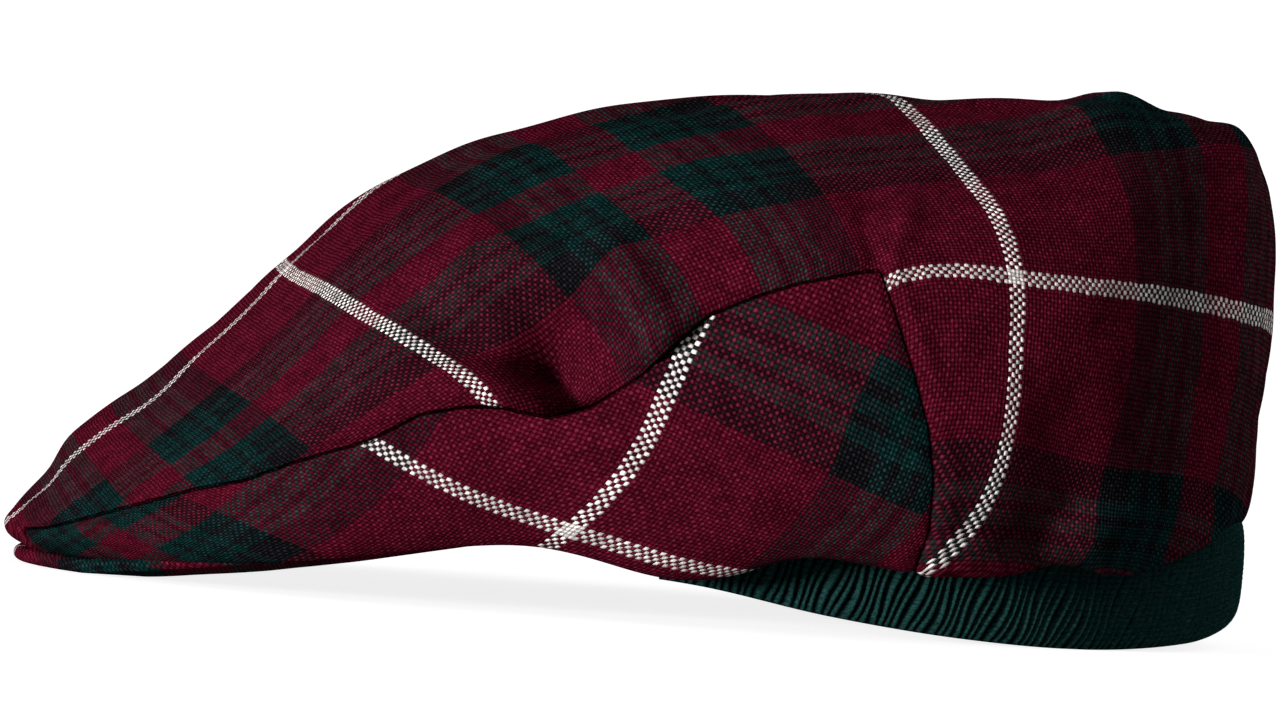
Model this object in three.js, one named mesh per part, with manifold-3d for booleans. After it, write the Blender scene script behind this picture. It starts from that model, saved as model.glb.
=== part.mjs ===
// A flat cap: a tartan crown and two side panels over a stiff peak, on a ribbed knit band.
// Millimetres, +Z up, the peak towards -Y and the wearer's left towards +X.
// The cap stands as it would on a table, on the peak and on two low stretches of the band.
import * as THREE from 'three';
import { mergeVertices } from 'three/addons/utils/BufferGeometryUtils.js';
import Module from 'manifold-3d';

const wasm = await Module();
wasm.setup();

// Driving dimensions
const CLOTH_WALL = 2;
const KNIT_WALL = 3;
const PEAK_THICKNESS = 3.2;
const GAP = 0.3;
const AXIS_Y = 34.3;
const APEX_Z = 115;
const OPENING_HALF_WIDTH = 84;
const OPENING_HALF_LENGTH = 99.5;

// The peak spans this many degrees each side of the front, the band the rest from here back
const PEAK_REACH = 60;
const BAND_START = 74;
const BAND_HEIGHT = 25;
const BAND_BULGE = 0.8;
const EDGE_ROUNDING = 1;

// The front of the peak lies flat this far in from its edge
const PEAK_FLAT = 16;

// The side panels begin this far out from the middle; the crown's own edge is between them
const SIDE_PANEL_START = 36;
const SIDE_PANEL_REACH = 140;

// Fineness of the facets
const STEPS_ROUND = 84;
const STEPS_PER_RING = 3;
const PEAK_STEPS = 32;
const BAND_STEPS = 52;

// Upright sections through the vertical axis at AXIS_Y, from the front (0) to the back (180).
// Each pair is a distance from the axis and a height: four rings down the cloth, its lowest
// fold (tuck) and its turned-in edge (hem), then the underside of the peak, outer and inner,
// and last the height of the band's lower edge.
const SECTION_STEP = 20;
const SECTIONS = [
  { angle: 0, top: [49, 107.6], shoulder: [92, 89.6], side: [133, 52.2], widest: [172.3, 9],
    tuck: [168.5, 4.3], hem: [157, 4.6], peakOuter: [169.3, 0], peakInner: [97, 11], bandBottom: 10 },
  { angle: 20, top: [49, 107], shoulder: [88, 91.5], side: [128, 59], widest: [165, 10],
    tuck: [161, 3.8], hem: [149, 4.6], peakOuter: [161.5, 0], peakInner: [95, 11], bandBottom: 10 },
  { angle: 40, top: [49, 106.6], shoulder: [85, 96], side: [120, 69], widest: [142.5, 15],
    tuck: [138.5, 7.2], hem: [130, 9], peakOuter: [137, 7.2], peakInner: [91, 11.5], bandBottom: 10 },
  { angle: 60, top: [49, 108.4], shoulder: [80, 97], side: [103, 74], widest: [115, 30],
    tuck: [109, 15], hem: [101, 17], peakOuter: [106, 16.5], peakInner: [96, 16.5], bandBottom: 10 },
  { angle: 80, top: [49, 110], shoulder: [78, 99.8], side: [96, 84], widest: [105.5, 45],
    tuck: [99, 10.5], hem: [84, 15], peakOuter: [100, 17], peakInner: [96, 17], bandBottom: 8.5 },
  { angle: 100, top: [49, 111.3], shoulder: [79, 101.5], side: [96, 86], widest: [106, 50],
    tuck: [99, 16.5], hem: [84, 20], peakOuter: [100, 17], peakInner: [96, 17], bandBottom: 4 },
  { angle: 120, top: [52, 113], shoulder: [82, 104], side: [99, 90], widest: [110, 58],
    tuck: [103, 16.5], hem: [86, 20], peakOuter: [100, 17], peakInner: [96, 17], bandBottom: 1 },
  { angle: 140, top: [55, 115.3], shoulder: [85, 110], side: [101, 98], widest: [110, 64],
    tuck: [104, 18.5], hem: [91, 22], peakOuter: [100, 17], peakInner: [96, 17], bandBottom: 0 },
  { angle: 160, top: [58, 117.6], shoulder: [87, 115], side: [99.5, 104], widest: [106, 68],
    tuck: [102, 23.5], hem: [96, 26], peakOuter: [100, 17], peakInner: [96, 17], bandBottom: 1.8 },
  { angle: 180, top: [60, 118.6], shoulder: [88, 116], side: [98.5, 104.5], widest: [103.2, 72],
    tuck: [101.5, 27], hem: [98, 29], peakOuter: [100, 17], peakInner: [96, 17], bandBottom: 5.2 },
];
const CLOTH_RINGS = ['top', 'shoulder', 'side', 'widest', 'tuck', 'hem'];

// Folds pressed into the cloth: a line seen from the side, its reach and its depth outwards.
// A side of 1 is the wearer's left, -1 the right.
const FOLDS = [
  { name: 'dimple above the seam', side: 1, from: [-27, 57], to: [-9, 48], reach: 9, depth: -7 },
  { name: 'ridge beside the dimple', side: 1, from: [-14, 69], to: [1, 52], reach: 8, depth: 2.5 },
  { name: 'pinch at the seam corner', side: 1, from: [50, 97], to: [55, 84], reach: 6, depth: -2.5 },
  { name: 'hang behind the seam', side: 1, from: [98, 46], to: [92, 26], reach: 8, depth: -3 },
  { name: 'dimple above the seam', side: -1, from: [-24, 58], to: [-6, 50], reach: 9, depth: -6 },
  { name: 'ridge beside the dimple', side: -1, from: [-11, 70], to: [4, 54], reach: 8, depth: 2 },
  { name: 'pinch at the seam corner', side: -1, from: [52, 96], to: [56, 84], reach: 6, depth: -2 },
  { name: 'hang behind the seam', side: -1, from: [92, 44], to: [88, 26], reach: 8, depth: -2.5 },
];

// Outline of a side panel seen from the side, as y and z: forward along the upper seam from
// its back corner, then under the cap and up the upright seam.
const SIDE_PANEL = [
  [55, 80.3], [50.7, 79.5], [37.9, 76.2], [29.5, 73], [19, 67.9], [13, 62], [5, 53.5],
  [-5.4, 45.9], [-13.8, 43.1], [-24.8, 44.5], [-31.3, 44.2], [-41.9, 41.7], [-52.9, 35.1],
  [-68, 29.5], [-80.3, 24], [-90.4, 21.4], [-106.3, 15.8], [-124.4, 9.1], [-130.5, 8],
  [-130.5, -5], [62, -5], [67.3, 16], [69.9, 25], [70.1, 36], [68.3, 46.6], [64.1, 59],
  [58.8, 72],
];

// Catmull-Rom value between the two middle ones of four numbers
function spline(a, b, c, d, t) {
  const bend = (2 * a - 5 * b + 4 * c - d) * t * t + (3 * b - a - 3 * c + d) * t * t * t;
  return 0.5 * (2 * b + (c - a) * t + bend);
}

// A section's value at any angle; the cap is the same on both sides and smooth across them
function atAngle(angle, pick) {
  const folded = Math.abs(((((angle + 180) % 360) + 360) % 360) - 180) / SECTION_STEP;
  const last = SECTIONS.length - 1;
  const row = Math.min(Math.floor(folded), last - 1);
  const value = (i) => pick(SECTIONS[i < 0 ? -i : i > last ? 2 * last - i : i]);
  return spline(value(row - 1), value(row), value(row + 1), value(row + 2), folded - row);
}

// The point at an angle round the axis, a distance from it and a height
function around(angle, distance, height) {
  const turn = THREE.MathUtils.degToRad(angle);
  return new THREE.Vector3(distance * Math.sin(turn), AXIS_Y - distance * Math.cos(turn), height);
}

// The cloth's smooth outer face, from the apex (0) to the hem (6)
function clothProfile(angle) {
  const onRing = (ring, where) =>
    around(where, atAngle(where, (s) => s[ring][0]), atAngle(where, (s) => s[ring][1]));
  const across = onRing('top', angle + 180);
  const rings = CLOTH_RINGS.map((ring) => onRing(ring, angle));
  const curve = new THREE.CatmullRomCurve3([across, around(0, 0, APEX_Z), ...rings], false, 'centripetal');
  return (ring) => curve.getPoint((ring + 1) / (CLOTH_RINGS.length + 1));
}

// How far the folds move a point of the cloth outwards
function foldDepth(point) {
  let depth = 0;
  for (const fold of FOLDS) {
    const from = new THREE.Vector3(0, ...fold.from);
    const line = new THREE.Line3(from, new THREE.Vector3(0, ...fold.to));
    const seen = new THREE.Vector3(0, point.y, point.z);
    const nearest = line.closestPointToPoint(seen, true, new THREE.Vector3());
    const away = nearest.distanceTo(seen) / fold.reach;
    depth += point.x * fold.side > 0 ? fold.depth * Math.exp(-away * away) : 0;
  }
  return depth;
}

// Points of the cloth from the apex to the hem at each angle, folds included, moved inwards by
// a depth along the face's normal
function clothGrid(inwards) {
  const nudge = 0.02;
  const grid = [];
  for (let i = 0; i < STEPS_ROUND; i++) {
    const angle = (360 * i) / STEPS_ROUND;
    const here = clothProfile(angle);
    const beside = clothProfile(angle + 1);
    const column = [];
    for (let j = 1; j <= CLOTH_RINGS.length * STEPS_PER_RING; j++) {
      const ring = j / STEPS_PER_RING;
      const point = here(ring);
      const down = here(Math.min(ring + nudge, CLOTH_RINGS.length)).sub(here(ring - nudge));
      const normal = beside(ring).sub(point).cross(down).normalize().negate();
      column.push(point.addScaledVector(normal, foldDepth(point) - inwards));
    }
    grid.push(column);
  }
  return grid;
}

function toSolid(points, triangles) {
  const vertProperties = new Float32Array(points.flatMap((p) => [p.x, p.y, p.z]));
  const triVerts = new Uint32Array(triangles.flat());
  return new wasm.Manifold(new wasm.Mesh({ numProp: 3, vertProperties, triVerts }));
}

// The whole cloth as one hollow shell: down the outside, round the hem and up the inside
function clothShell() {
  const outer = clothGrid(0);
  const inner = clothGrid(CLOTH_WALL);
  const columns = outer.map((column, i) => [...column, ...inner[i].reverse()]);
  const height = columns[0].length;
  const points = columns.flat();
  const topOuter = points.push(new THREE.Vector3(0, AXIS_Y, APEX_Z)) - 1;
  const topInner = points.push(new THREE.Vector3(0, AXIS_Y, APEX_Z - CLOTH_WALL)) - 1;
  const triangles = [];
  for (let i = 0; i < columns.length; i++) {
    const here = i * height;
    const next = ((i + 1) % columns.length) * height;
    triangles.push([topOuter, here, next]);
    triangles.push([topInner, next + height - 1, here + height - 1]);
    for (let j = 0; j < height - 1; j++) {
      triangles.push([here + j, here + j + 1, next + j + 1]);
      triangles.push([here + j, next + j + 1, next + j]);
    }
  }
  return toSolid(points, triangles);
}

// A solid through closed sections of equal length, with a flat cap at each end
function loft(sections) {
  const size = sections[0].length;
  const triangles = [];
  for (let i = 0; i < sections.length - 1; i++) {
    for (let j = 0; j < size; j++) {
      const [a, b] = [i * size + j, i * size + ((j + 1) % size)];
      triangles.push([a, b, b + size]);
      triangles.push([a, b + size, a + size]);
    }
  }
  const end = (sections.length - 1) * size;
  for (let j = 1; j < size - 1; j++) {
    triangles.push([0, j + 1, j]);
    triangles.push([end, end + j, end + j + 1]);
  }
  return toSolid(sections.flat(), triangles);
}

// The stiff peak; grown by a clearance, it cuts the room that the cloth leaves for it
function peakSolid(grown) {
  const sections = [];
  for (let i = 0; i <= PEAK_STEPS; i++) {
    const angle = (PEAK_REACH + grown) * ((2 * i) / PEAK_STEPS - 1);
    const outer = atAngle(angle, (s) => s.peakOuter[0]);
    const outerZ = Math.max(0, atAngle(angle, (s) => s.peakOuter[1]));
    const inner = atAngle(angle, (s) => s.peakInner[0]);
    const innerZ = atAngle(angle, (s) => s.peakInner[1]);
    const middle = PEAK_THICKNESS / 2;
    const flat = Math.min(PEAK_FLAT, (outer - inner) / 3);
    const outline = [
      [outer + grown, outerZ + middle],
      [outer - EDGE_ROUNDING + grown / 2, outerZ - grown],
      [outer - flat, outerZ - grown],
      [inner + EDGE_ROUNDING - grown / 2, innerZ - grown],
      [inner - grown, innerZ + middle],
      [inner + EDGE_ROUNDING - grown / 2, innerZ + PEAK_THICKNESS + grown],
      [outer - flat, outerZ + PEAK_THICKNESS + grown],
      [outer - EDGE_ROUNDING + grown / 2, outerZ + PEAK_THICKNESS + grown],
    ];
    sections.push(outline.map(([distance, height]) => around(angle, distance, height)));
  }
  return loft(sections);
}

// Outer face of the band at an angle: an upright oval the size of the head
function bandDistance(angle) {
  const turn = THREE.MathUtils.degToRad(angle);
  return 1 / Math.hypot(Math.sin(turn) / OPENING_HALF_WIDTH, Math.cos(turn) / OPENING_HALF_LENGTH);
}

// The knit band; grown by a clearance, it cuts the room that the cloth leaves for it
function bandSolid(grown) {
  const sections = [];
  for (let i = 0; i <= BAND_STEPS; i++) {
    const start = BAND_START - grown;
    const angle = start + ((360 - 2 * start) * i) / BAND_STEPS;
    const outer = bandDistance(angle) + grown;
    const inner = bandDistance(angle) - KNIT_WALL - grown;
    const bottom = Math.max(0, atAngle(angle, (s) => s.bandBottom)) - grown;
    const top = bottom + BAND_HEIGHT + 2 * grown;
    const outline = [
      [outer, top - EDGE_ROUNDING],
      [outer + BAND_BULGE, (top + bottom) / 2],
      [outer, bottom + EDGE_ROUNDING],
      [outer - EDGE_ROUNDING, bottom],
      [inner + EDGE_ROUNDING, bottom],
      [inner, bottom + EDGE_ROUNDING],
      [inner + BAND_BULGE, (top + bottom) / 2],
      [inner, top - EDGE_ROUNDING],
      [inner + EDGE_ROUNDING, top],
      [outer - EDGE_ROUNDING, top],
    ];
    sections.push(outline.map(([distance, height]) => around(angle, distance, height)));
  }
  return loft(sections);
}

// A block through one side of the cap with the panel's outline, larger by a clearance
function sideBlock(side, clearance) {
  const outline = SIDE_PANEL.map(([y, z]) => new THREE.Vector2(y, z));
  const grown = outline.map((corner, i) => {
    const before = outline[(i + outline.length - 1) % outline.length];
    const after = outline[(i + 1) % outline.length];
    const along = after.clone().sub(before).normalize();
    return corner.clone().add(new THREE.Vector2(-along.y, along.x).multiplyScalar(-clearance));
  });
  const depth = SIDE_PANEL_REACH - SIDE_PANEL_START;
  const geometry = new THREE.ExtrudeGeometry(new THREE.Shape(grown), { depth, bevelEnabled: false });
  geometry.deleteAttribute('normal');
  geometry.deleteAttribute('uv');
  // The outline's plane goes from XY to YZ, and the depth along X, to the side's own half
  geometry.applyMatrix4(new THREE.Matrix4().set(0, 0, 1, 0, 1, 0, 0, 0, 0, 1, 0, 0, 0, 0, 0, 1));
  const near = SIDE_PANEL_START - clearance;
  geometry.translate(side > 0 ? near : -near - depth, 0, 0);
  const merged = mergeVertices(geometry);
  const vertProperties = new Float32Array(merged.attributes.position.array);
  const triVerts = new Uint32Array(merged.index.array);
  return new wasm.Manifold(new wasm.Mesh({ numProp: 3, vertProperties, triVerts }));
}

// The largest piece of a cut solid, without crumbs left by the cut
function largest(solid) {
  return solid.decompose().sort((a, b) => b.volume() - a.volume())[0];
}

const MATERIALS = {
  tartan: new THREE.MeshStandardMaterial({ color: '#6b1430', roughness: 0.9, metalness: 0 }),
  sideTartan: new THREE.MeshStandardMaterial({ color: '#5a1430', roughness: 0.9, metalness: 0 }),
  peakTartan: new THREE.MeshStandardMaterial({ color: '#4a1a2c', roughness: 0.9, metalness: 0 }),
  knit: new THREE.MeshStandardMaterial({ color: '#0c2f2a', roughness: 0.95, metalness: 0 }),
};

function toMesh(name, solid, material) {
  const { numProp, vertProperties, triVerts } = solid.getMesh();
  const geometry = new THREE.BufferGeometry();
  geometry.setAttribute('position', new THREE.BufferAttribute(new Float32Array(vertProperties), numProp));
  geometry.setIndex(new THREE.BufferAttribute(new Uint32Array(triVerts), 1));
  geometry.computeVertexNormals();
  const mesh = new THREE.Mesh(geometry, material);
  mesh.name = name;
  return mesh;
}

const cloth = clothShell().subtract(peakSolid(GAP)).subtract(bandSolid(GAP));
const crown = cloth.subtract(sideBlock(1, GAP / 2)).subtract(sideBlock(-1, GAP / 2));
const left = cloth.intersect(sideBlock(1, -GAP / 2));
const right = cloth.intersect(sideBlock(-1, -GAP / 2));

const cap = new THREE.Group();
cap.add(toMesh('crown_panel', largest(crown), MATERIALS.tartan));
cap.add(toMesh('side_panel_left', largest(left), MATERIALS.sideTartan));
cap.add(toMesh('side_panel_right', largest(right), MATERIALS.sideTartan));
cap.add(toMesh('peak', peakSolid(0), MATERIALS.peakTartan));
cap.add(toMesh('knit_band', bandSolid(0), MATERIALS.knit));

export default cap;
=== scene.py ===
import math

import bpy
import numpy as np
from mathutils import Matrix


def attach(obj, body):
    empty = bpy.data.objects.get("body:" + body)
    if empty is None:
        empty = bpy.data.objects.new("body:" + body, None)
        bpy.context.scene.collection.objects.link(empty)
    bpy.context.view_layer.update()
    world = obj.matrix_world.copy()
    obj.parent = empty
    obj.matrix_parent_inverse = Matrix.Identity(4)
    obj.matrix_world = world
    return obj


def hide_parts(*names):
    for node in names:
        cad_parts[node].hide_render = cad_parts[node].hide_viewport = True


MM = 0.001

# Sun lamps, with angles in degrees
LIGHTS = (
    # name, azimuth, elevation, strength, softness
    ("key", 42, 6, 3.8, 14),
    ("far side", 235, 14, 1.3, 40),
)

# The surround's strength below the first of these slopes and above the second, and the floor
WORLD_SLOPES = (-0.6, 0.5)
WORLD_BELOW = 0.17
WORLD_ABOVE = 0.25
FLOOR_SIZE = 80
FLOOR_COLOUR = (0.6, 0.6, 0.6)
FLOOR_GLOW = 0.84

# The camera, as the photo was taken: angles in degrees, distances in mm, scale in pixels per mm
PHOTO_SIZE = (1280, 728)
CAMERA_AZIMUTH = 93.0
CAMERA_ELEVATION = 2.0
CAMERA_ROLL = 4.2
CAMERA_DISTANCE = 6000.0
CAMERA_SCALE = 4.55
CAMERA_TARGET = (0.25, -0.54, 52.69)
SENSOR_WIDTH = 36.0

# The cloth's walls, and the upright axis that its sections turn round
CLOTH_WALL = 2.0
AXIS_Y = 34.3
APEX_Z = 115.0

# Upright sections from the front (0 degrees) to the back (180). Each pair is a distance from
# the axis and a height: four rings down the cloth, its lowest fold and its turned-in edge.
SECTION_STEP = 20
RING_COUNT = 6
WIDEST_RING = 4
SECTIONS = (
    # angle, top, shoulder, side, widest, tuck, hem
    (0, (49, 107.6), (92, 89.6), (133, 52.2), (172.3, 9), (168.5, 4.3), (157, 4.6)),
    (20, (49, 107), (88, 91.5), (128, 59), (165, 10), (161, 3.8), (149, 4.6)),
    (40, (49, 106.6), (85, 96), (120, 69), (142.5, 15), (138.5, 7.2), (130, 9)),
    (60, (49, 108.4), (80, 97), (103, 74), (115, 30), (109, 15), (101, 17)),
    (80, (49, 110), (78, 99.8), (96, 84), (105.5, 45), (99, 10.5), (84, 15)),
    (100, (49, 111.3), (79, 101.5), (96, 86), (106, 50), (99, 16.5), (84, 20)),
    (120, (52, 113), (82, 104), (99, 90), (110, 58), (103, 16.5), (86, 20)),
    (140, (55, 115.3), (85, 110), (101, 98), (110, 64), (104, 18.5), (91, 22)),
    (160, (58, 117.6), (87, 115), (99.5, 104), (106, 68), (102, 23.5), (96, 26)),
    (180, (60, 118.6), (88, 116), (98.5, 104.5), (103.2, 72), (101.5, 27), (98, 29)),
)

# Fineness of the cloth: steps round it, and rows in each of the six rings
FINE_STEPS = 580
FINE_ROWS = (28, 30, 34, 42, 26, 10)
LINING_STEPS = 220
LINING_ROWS = (9, 10, 11, 14, 9, 4)

# Folds in the cloth: the panel they are in, the side (1 is the near one, 0 both), a line seen from
# the side as y and z, how far it reaches either way, its depth outwards and how round it is
FOLDS = (
    # name, panel, side, from, to, reach, depth, roundness
    ("bulge above the dimple", "crown", 1, (-34, 76), (-18, 75), 7, 3.0, 2),
    ("start of the dimple", "crown", 1, (-38, 60), (-20, 57), 6, -4.5, 1.6),
    ("dimple above the seam", "crown", 1, (-18.5, 56), (-8, 44.5), 5.2, -14, 1.7),
    ("wall beside the dimple", "crown", 1, (-13, 64), (-2, 53), 9, -4.5, 2),
    ("ridge beside the dimple", "crown", 1, (-2, 77), (10, 63), 7, 4.4, 2),
    ("lip before the dimple", "crown", 1, (-36, 50), (-24, 48), 5, 3, 2),
    ("bulge under the dimple", "side", 1, (-28, 37), (0, 39), 6, 1.5, 2),
    ("crease on the front", "crown", 1, (-56, 64), (-41, 80), 5, -1.0, 1.6),
    ("flat of the front", "both", 0, (-104, 44), (-80, 66), 12, -1.2, 2),
    ("pinch at the seam corner", "both", 1, (50, 97), (55, 84), 6, -1.4, 2),
    ("pucker before the corner", "both", 1, (50, 92), (53, 82), 2.2, -0.8, 1.5),
    ("pucker behind the corner", "both", 1, (60, 94), (58, 84), 2.6, 0.9, 2),
    ("hang behind the seam", "both", 1, (98, 46), (92, 26), 8, -2.4, 2),
    ("dimple above the seam", "both", -1, (-24, 58), (-6, 50), 9, -6, 1.6),
    ("ridge beside the dimple", "both", -1, (-11, 70), (4, 54), 8, 2, 2),
    ("pinch at the seam corner", "both", -1, (52, 96), (56, 84), 6, -2, 2),
    ("hang behind the seam", "both", -1, (92, 44), (88, 26), 8, -2.5, 2),
    ("round of the nose", "both", 0, (-137, 13), (-130, 20), 6, -1.8, 2),
    ("top of the nose", "both", 0, (-122, 26), (-114, 33), 5, 0.3, 2),
    ("sag of the top", "both", 0, (62, 117), (86, 119), 14, -1.6, 2),
    ("rise behind the sag", "both", 0, (95, 119), (99, 119), 6, 2.0, 2),
    ("dip before the corner", "both", 0, (111, 118), (119, 116), 5, -2.0, 2),
    ("back corner", "both", 0, (128, 115), (132, 111), 4, 1.3, 2),
    ("back drawn in", "both", 0, (137, 48), (134, 24), 13, -2.2, 2),
    ("pinch over the band", "both", 1, (93, 22), (101, 32), 4.5, -3, 1.5),
    ("bulge over the band", "both", 1, (106, 26), (116, 29), 6, 1.5, 2),
    ("crease at the back of the band", "both", 1, (118, 22), (131, 36), 4, -1.2, 1.5),
)

# Small undulations of the cloth, in mm
WAVES = (
    # direction, wavelength, phase, height
    ((0.9, 0.3, 0.4), 34, 0.3, 0.22),
    ((-0.2, 0.8, 0.6), 27, 1.9, 0.20),
    ((0.5, -0.6, 0.6), 19, 4.1, 0.13),
    ((0.3, 0.5, -0.8), 14, 2.6, 0.09),
    ((-0.7, 0.1, 0.7), 11, 5.2, 0.06),
)

# Just past this ring folds move the cloth level, so that its lower edge stays turned in
LEVEL_RING = 4.5
LEVEL_REACH = 0.4

# Where the cloth's lower edge lifts, in degrees and mm. The lift fades in over this share of a ring
# below the widest one.
HEM_REACH = 0.6
HEM_LIFTS = (
    # angle, reach, lift
    (94, 7, 2.2), (129, 5, 2.4), (112, 8, -0.8), (140, 7, -0.6), (168, 9, 2),
)

# Outline of a side panel seen from the side, as y and z; it begins this far from the middle
SIDE_PANEL_START = 36.0
SIDE_PANEL = (
    (55, 80.3), (50.7, 79.5), (37.9, 76.2), (29.5, 73), (19, 67.9), (13, 62), (5, 53.5),
    (-5.4, 45.9), (-13.8, 43.1), (-24.8, 44.5), (-31.3, 44.2), (-41.9, 41.7), (-52.9, 35.1),
    (-68, 29.5), (-80.3, 24), (-90.4, 21.4), (-106.3, 15.8), (-124.4, 9.1), (-130.5, 8),
    (-130.5, -5), (62, -5), (67.3, 16), (69.9, 25), (70.1, 36), (68.3, 46.6), (64.1, 59),
    (58.8, 72),
)

# A seam pulls both of its edges in and the cloth puffs up beside it, more so on the crown
SEAM_GAP = 0.14
SEAM_DEPTH = {"crown": 0.35, "side": 0.45}
SEAM_REACH = {"crown": 0.8, "side": 1.0}
PUFF_HEIGHT = {"crown": 0.7, "side": 0.3}
PUFF_AWAY = 3.2
PUFF_REACH = 2.4
PUCKER_LENGTH = 7.0
PUCKER_SHARE = 0.35
PUCKER_SLANT = 0.6
PUCKER_STRAY = 2
PUCKER_STRAY_LENGTH = 9

# How much longer the turned-in edge is than the step between the two panels
SKIRT_SHARE = 1.5

# The distance from a seam, in mm, on pieces that have none
FAR_FROM_SEAM = 50.0

# Where threads lie on the near side of the crown, read off the photo
CROWN_THREADS = (
    # picture x and y, threads outwards from the long white stripe, threads back from the front one
    (290, 257, 0, 0), (322, 280, 34, 0), (352, 302, 58, 0), (378, 319, 72, 0), (445, 364, 96, 0),
    (497, 409, 113, 0), (443, 183, 34, 34), (485, 213, 58, 34), (508, 230, 72, 34),
    (572, 298, 96, 34), (629, 384, 117, 34), (528, 138, 34, 58), (575, 172, 58, 58),
    (607, 187, 72, 58), (650, 232, 96, 58), (700, 312, 115, 58), (642, 149, 58, 72),
    (656, 178, 72, 72), (720, 213, 96, 72), (767, 288, 116, 72), (800, 147, 72, 98),
    (822, 193, 96, 96), (861, 268, 118, 96), (765, 118, 58, 92), (903, 103, 58, 130),
    (927, 127, 72, 130), (972, 183, 96, 130), (1019, 277, 130, 130), (885, 271, 130, 102),
    (940, 272, 130, 113), (1143, 290, 130, 164), (1203, 306, 130, 188), (1249, 320, 130, 202),
    (1262, 325, 130, 207), (1018, 365, 147, 130), (1009, 440, 164, 130), (993, 508, 176, 130),
    (933, 563, 188, 130), (1070, 108, 72, 155), (1112, 150, 96, 164), (1150, 113, 72, 180),
    (1203, 141, 96, 188), (1248, 148, 96, 202), (1137, 240, 118, 164), (1204, 230, 116, 188),
    (1252, 235, 114, 202), (1131, 385, 147, 164), (1197, 395, 147, 188), (1234, 400, 147, 202),
    (1104, 476, 164, 164), (1187, 494, 164, 188), (1228, 497, 164, 201), (1088, 558, 187, 164),
    (1166, 552, 184, 188), (1000, 572, 188, 140), (185, 358, 0, -34), (222, 385, 34, -34),
    (250, 403, 58, -34), (272, 418, 72, -34), (312, 451, 96, -34), (122, 418, 0, -58),
    (148, 440, 34, -58), (172, 463, 58, -58), (187, 474, 72, -58), (88, 453, 0, -72),
    (104, 481, 34, -72), (126, 499, 58, -72), (57, 481, 0, -83), (48, 522, 34, -92),
    (27, 507, 9, -95), (14, 533, 24, -106), (335, 223, 17, 14), (385, 188, 17, 30),
    (440, 158, 20, 46), (500, 133, 24, 62),
)

# The same at the middle of the back, just past the cap's outline in the photo
BACK_THREADS = (
    # y, z, threads outwards, threads back
    (128, 111, 93, 207), (134, 99, 107, 217), (137, 72, 129, 224), (138, 44, 151, 224),
)

# Between these two y, the threads of the crown's far side go from turned to mirrored
TURNED_TO = 20.0
MIRRORED_FROM = 110.0

# Where threads lie on the side panel, read off the photo in the same way
SIDE_THREADS = (
    # picture x and y, threads up from its long stripe, threads back from its cross stripe
    (573, 531, 0, 0), (412, 465, 0, -34), (366, 440, 0, -44), (500, 505, 0, -15),
    (650, 557, 0, 16), (750, 573, 0, 36), (667, 392, 34, 0), (704, 321, 50, 0), (635, 463, 17, 0),
    (761, 441, 34, 18), (834, 476, 34, 34), (905, 507, 34, 50), (769, 300, 58, 8),
    (828, 328, 58, 20), (877, 352, 58, 32), (855, 410, 46, 34), (808, 508, 22, 34),
    (762, 561, 5, 34), (926, 502, 36, 57), (870, 560, 14, 57), (388, 490, -9, -34),
    (335, 537, -27, -34), (298, 556, -36, -34), (213, 510, -34, -58), (158, 545, -58, -58),
    (138, 556, -72, -58), (125, 526, -58, -72), (102, 547, -72, -72), (186, 498, -34, -72),
    (607, 500, 8.5, 0), (140, 508, -44, -78), (62, 532, -80, -84), (255, 476, -20, -58),
)

# How nearly the threads pass through those places, and what counts as edge on to the camera
THREAD_SMOOTHING = 0.002
LEAST_FACING = 0.13

# A place in the photo is the frontmost point within these pixels of it, where the surface shows
PIXEL_REACH = 2.5
LEAST_SHOWN = 0.02

# A panel is searched this far past its seam. The smooth run of threads is worked out in units of
# this many mm, for this many points at a time.
PANEL_MARGIN = 2
FIELD_UNIT = 100
FIELD_BATCH = 20000

# Weave: threads to each count of the tables, how far they stray, how low the threads one way lie
# beside the others, how fast a thread falls off from its top, and its relief in mm
WEAVE_FINENESS = 1.1
THREAD_STRAY = 0.9
STRAY_FINENESS = 0.3
WARP_LEVEL = 0.66
THREAD_FALL_ACROSS = 3.2
THREAD_FALL_ALONG = 2.6
WEAVE_RELIEF = 0.24

# How light the weave is: painted shade between threads and on the lower threads, painted highlight
# on their tops, then how much fibres, single crossings and patches change it, and how fine those
# are
WEAVE_LEAST = 0.36
WEAVE_LIT = 1.1
FIBRE_SPREAD = 2.2
FIBRE_FINENESS = 3.2
FIBRE_RELIEF = 0.5
CROSSING_SPREAD = 0.6
PATCH_SPREAD = 1.1
PATCH_FINENESS = 0.13

# The painted sheen of the fibres on the tops of threads, and how much of the thread below shows
PAINTED_SHEEN_SHARE = 0.045
PAINTED_SHEEN_SHARPNESS = 3.0
THREAD_BLEED = 0.14

# The furrow of a seam: its reach in mm, the painted shade in it and its depth
SEAM_LINE = 0.3
SEAM_PAINTED_SHADE = 0.35
SEAM_RELIEF = 1.8

# On the peak the threads run straight: their pitch, and the counts at x = 0 and y = PEAK_TIP_Y
THREAD_PITCH = 1.08
PEAK_TIP_Y = -127.0
PEAK_TIP_THREADS = (-12, -96)

# One repeat of the tartan, as its yarn and a number of threads
SETT = (
    ("white", 2), ("red", 32), ("black", 8), ("green", 3), ("black", 2), ("green", 4),
    ("black", 2), ("green", 5), ("red", 14), ("green", 5), ("black", 2), ("green", 4),
    ("black", 2), ("green", 3), ("black", 8), ("red", 32), ("white", 2),
)
YARNS = {
    "white": (1.0, 0.92, 0.88),
    "red": (0.092, 0.0030, 0.0143),
    "black": (0.0065, 0.0062, 0.0085),
    "green": (0.0025, 0.023, 0.0225),
}
KNIT_YARN = (0.0068, 0.0285, 0.027)
# The colour of the painted sheen on the tops of threads
PAINTED_SHEEN_COLOUR = (0.30, 0.27, 0.27)

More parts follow.
